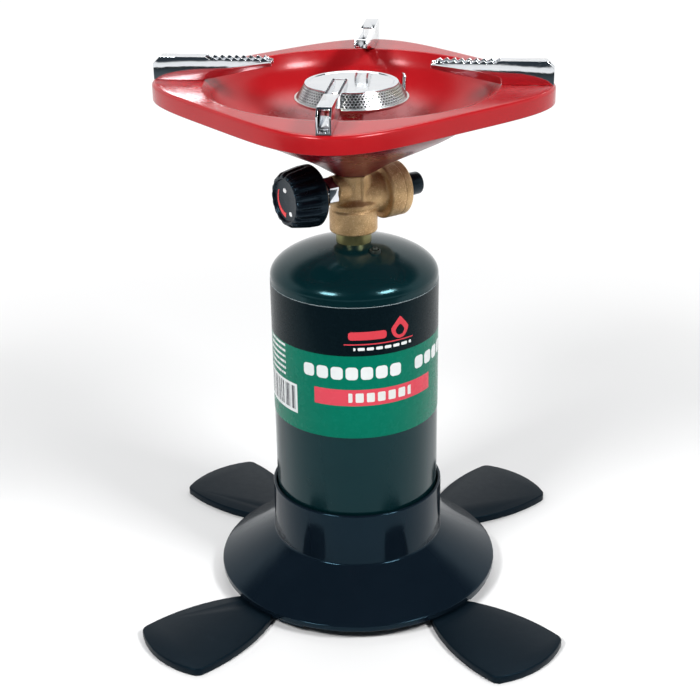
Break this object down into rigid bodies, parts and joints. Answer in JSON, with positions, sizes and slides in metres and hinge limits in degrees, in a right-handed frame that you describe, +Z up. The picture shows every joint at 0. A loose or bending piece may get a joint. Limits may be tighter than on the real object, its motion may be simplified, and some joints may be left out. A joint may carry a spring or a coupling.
{
  "type": "camping stove",
  "caption": "Single-burner camping stove screwed onto an upright gas cylinder, with a square drip pan, pot supports, a gas valve with a knob, and a stand with folding feet.",
  "frame": {"origin": "on the ground under the centre of the gas cylinder", "axes": "+Z up along the cylinder's axis; the four feet point along the diagonals of X and Y; the control knob points towards -X -Y"},
  "size_m": [0.2444, 0.2444, 0.3233],
  "materials": {
    "stand_plastic": "glossy blue-black moulding",
    "foot_plastic": "satin blue-black moulding",
    "zinc_screw": "zinc-plated steel",
    "cylinder_enamel": "glossy dark green enamel",
    "label_print": "printed wrap in dark blue and green bands",
    "yellow_zinc": "yellow passivated zinc",
    "cast_brass": "sand-cast brass",
    "turned_brass": "turned brass",
    "spring_steel": "spring steel",
    "black_rubber": "nitrile rubber",
    "black_plastic": "black moulding",
    "dial_red": "printed red arc",
    "plated_steel": "bright plated steel",
    "bright_chrome": "chrome-plated sheet",
    "red_enamel": "glossy red enamel"
  },
  "bodies": {
    "stand": {"base_stand": "stand_plastic", "foot_pivot_screws": "zinc_screw"},
    "foot_1_body": {"foot_1": "foot_plastic"},
    "foot_2_body": {"foot_2": "foot_plastic"},
    "foot_3_body": {"foot_3": "foot_plastic"},
    "foot_4_body": {"foot_4": "foot_plastic"},
    "cylinder": {"cylinder_shell": "cylinder_enamel", "cylinder_label": "label_print", "cylinder_neck": "yellow_zinc", "cylinder_valve_core": "turned_brass", "valve_core_spring": "spring_steel", "relief_valve": "zinc_screw"},
    "gasket": {"neck_gasket": "black_rubber"},
    "stove_head": {"valve_body": "cast_brass", "inlet_probe": "turned_brass", "regulator_diaphragm": "black_rubber", "regulator_spring": "spring_steel", "regulator_cap": "cast_brass", "vent_cap": "black_plastic", "packing_nut": "plated_steel", "gas_jet": "turned_brass", "burner_tube": "plated_steel", "burner_base": "plated_steel", "burner_band": "plated_steel", "burner_cap": "bright_chrome", "burner_clip": "bright_chrome", "drip_pan": "red_enamel", "pan_washer": "zinc_screw", "pan_nut": "turned_brass", "support_rivets": "zinc_screw"},
    "knob": {"valve_stem": "plated_steel", "stem_o_ring": "black_rubber", "control_knob": "black_plastic", "knob_dial_mark": "dial_red"},
    "pot_support_1_body": {"pot_support_1": "bright_chrome"},
    "pot_support_2_body": {"pot_support_2": "bright_chrome"},
    "pot_support_3_body": {"pot_support_3": "bright_chrome"},
    "pot_support_4_body": {"pot_support_4": "bright_chrome"}
  },
  "joints": [
    {"name": "foot_1_fold", "type": "hinge", "parent": "stand", "child": "foot_1_body", "pos_m": [0.0495, 0.0495, 0], "axis": [0, 0, 1], "range_deg": [-130, 0]},
    {"name": "foot_2_fold", "type": "hinge", "parent": "stand", "child": "foot_2_body", "pos_m": [-0.0495, 0.0495, 0], "axis": [0, 0, 1], "range_deg": [-130, 0]},
    {"name": "foot_3_fold", "type": "hinge", "parent": "stand", "child": "foot_3_body", "pos_m": [-0.0495, -0.0495, 0], "axis": [0, 0, 1], "range_deg": [-130, 0]},
    {"name": "foot_4_fold", "type": "hinge", "parent": "stand", "child": "foot_4_body", "pos_m": [0.0495, -0.0495, 0], "axis": [0, 0, 1], "range_deg": [-130, 0]},
    {"name": "cylinder_lift", "type": "slide", "parent": "stand", "child": "cylinder", "axis": [0, 0, 1], "range_m": [0, 0.05]},
    {"name": "head_unscrew", "type": "hinge", "parent": "cylinder", "child": "gasket", "pos_m": [0, 0, 0.2357], "axis": [0, 0, 1], "range_deg": [0, 1440]},
    {"name": "head_rise", "type": "slide", "parent": "gasket", "child": "stove_head", "axis": [0, 0, 1], "range_m": [0, 0.0052]},
    {"name": "knob_turn", "type": "hinge", "parent": "stove_head", "child": "knob", "pos_m": [0, 0, 0.2499], "axis": [-0.8039, -0.5948, 0], "range_deg": [0, 150]},
    {"name": "pot_support_1_swing", "type": "hinge", "parent": "stove_head", "child": "pot_support_1_body", "pos_m": [0.10379, -0.00653, 0.3102], "axis": [0, 0, 1], "range_deg": [0, 60]},
    {"name": "pot_support_2_swing", "type": "hinge", "parent": "stove_head", "child": "pot_support_2_body", "pos_m": [0.00653, 0.10379, 0.3102], "axis": [0, 0, 1], "range_deg": [0, 60]},
    {"name": "pot_support_3_swing", "type": "hinge", "parent": "stove_head", "child": "pot_support_3_body", "pos_m": [-0.10379, 0.00653, 0.3102], "axis": [0, 0, 1], "range_deg": [0, 60]},
    {"name": "pot_support_4_swing", "type": "hinge", "parent": "stove_head", "child": "pot_support_4_body", "pos_m": [-0.00653, -0.10379, 0.3102], "axis": [0, 0, 1], "range_deg": [0, 60]}
  ],
  "couplings": [
    {"joint": "head_rise", "follows": "head_unscrew", "m_per_rad": 0.0002021}
  ]
}
